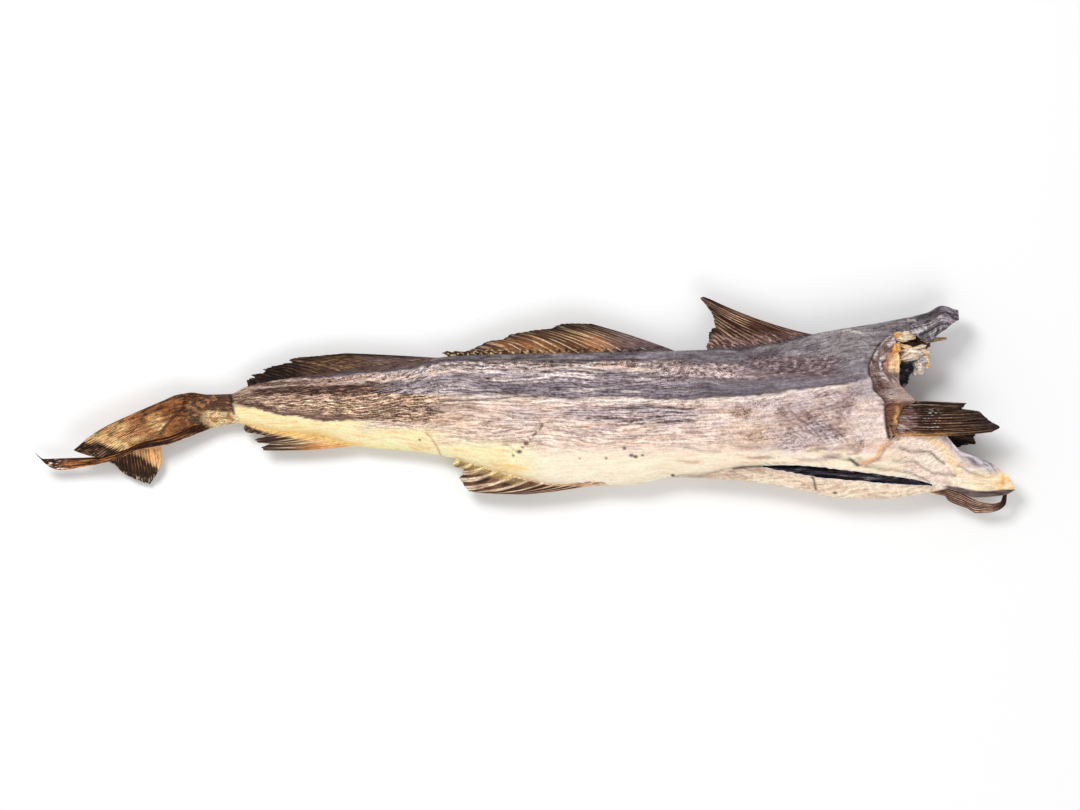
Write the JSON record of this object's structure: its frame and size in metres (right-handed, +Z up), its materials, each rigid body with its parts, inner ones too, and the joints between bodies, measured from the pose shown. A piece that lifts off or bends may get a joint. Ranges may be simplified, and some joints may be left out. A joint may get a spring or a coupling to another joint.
{
  "type": "stockfish",
  "caption": "Whole headless air-dried cod lying on its side, with stiff dried fins, a folded tail, an open belly slit and a torn neck.",
  "frame": {"origin": "middle of the base of the box round the fish, on the surface that it lies on", "axes": "+X from the tail to the shoulder end, +Y from the belly to the back, +Z up out of the shown right side"},
  "size_m": [0.7058, 0.156, 0.0468],
  "materials": {
    "skin": "dried fish skin, dull with a faint oily sheen, cream flank under a grey back",
    "fin": "dried fins, dark brown ribbed membrane with tan rays",
    "flesh": "torn dried flesh, golden to cream, fibrous",
    "lining": "dried belly lining, blue-black, slightly glossy"
  },
  "bodies": {
    "root": {"stockfish": "skin"}
  },
  "joints": []
}
